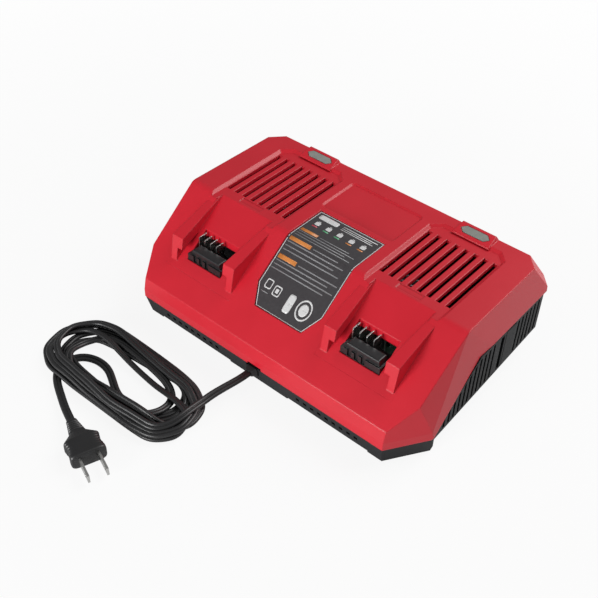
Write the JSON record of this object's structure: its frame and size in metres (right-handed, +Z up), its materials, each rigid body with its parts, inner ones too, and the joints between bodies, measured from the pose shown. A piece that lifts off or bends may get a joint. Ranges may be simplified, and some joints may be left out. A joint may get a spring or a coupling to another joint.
{
  "type": "power tool battery charger",
  "caption": "Wedge-shaped bench charger with side-by-side railed bays for slide-on tool batteries, vented deck, dark base, flat mains lead in a hank and plug.",
  "frame": {"origin": "on the bench, under the middle of the housing's footprint", "axes": "+X to the right seen from the front, +Y from the low front lip to the back wall, +Z up from the bench"},
  "size_m": [0.2698, 0.3119, 0.0841],
  "materials": {
    "red_shell": "fine moulded texture",
    "black_shell": "fine moulded texture",
    "printed_label": "satin printed film",
    "clear_lens": "smoky translucent",
    "circuit_board": "solder mask",
    "lamp": "clear epoxy",
    "black_moulding": "satin",
    "contact_metal": "tin plated",
    "ferrite": "sintered ferrite",
    "winding_tape": "polyester tape",
    "bare_aluminium": "extruded",
    "capacitor_sleeve": "shrink sleeve",
    "copper_wire": "enamelled wire",
    "white_moulding": "satin",
    "screw_steel": "zinc plated",
    "foot_rubber": "matte",
    "cord_jacket": "satin jacket"
  },
  "bodies": {
    "charger": {"upper_housing": "red_shell", "lower_housing": "black_shell", "display_label": "printed_label", "indicator_lens_left": "clear_lens", "indicator_lens_right": "clear_lens", "indicator_board_left": "circuit_board", "indicator_board_right": "circuit_board", "indicator_lamps": "lamp", "terminal_block_left": "black_moulding", "terminal_block_right": "black_moulding", "contact_blades_left": "contact_metal", "contact_blades_right": "contact_metal", "main_circuit_board": "circuit_board", "transformer_core": "ferrite", "transformer_winding": "winding_tape", "heat_sink_left": "bare_aluminium", "heat_sink_right": "bare_aluminium", "power_transistors": "black_moulding", "bulk_capacitors": "capacitor_sleeve", "filter_choke": "copper_wire", "fuse": "contact_metal", "mains_socket": "white_moulding", "fan_frame": "black_moulding", "housing_screws": "screw_steel", "board_screws": "screw_steel", "rubber_feet": "foot_rubber", "strain_relief": "cord_jacket", "mains_wires": "cord_jacket", "power_lead": "cord_jacket", "cord_hank": "cord_jacket", "power_tail": "cord_jacket", "plug_body": "cord_jacket", "plug_blades": "contact_metal"},
    "fan_rotor": {"fan_rotor": "black_moulding"}
  },
  "joints": [
    {"name": "fan_spin", "type": "hinge", "parent": "charger", "child": "fan_rotor", "pos_m": [0.09698, 0.02115, 0.028], "axis": [1, 0, 0], "continuous": true}
  ]
}
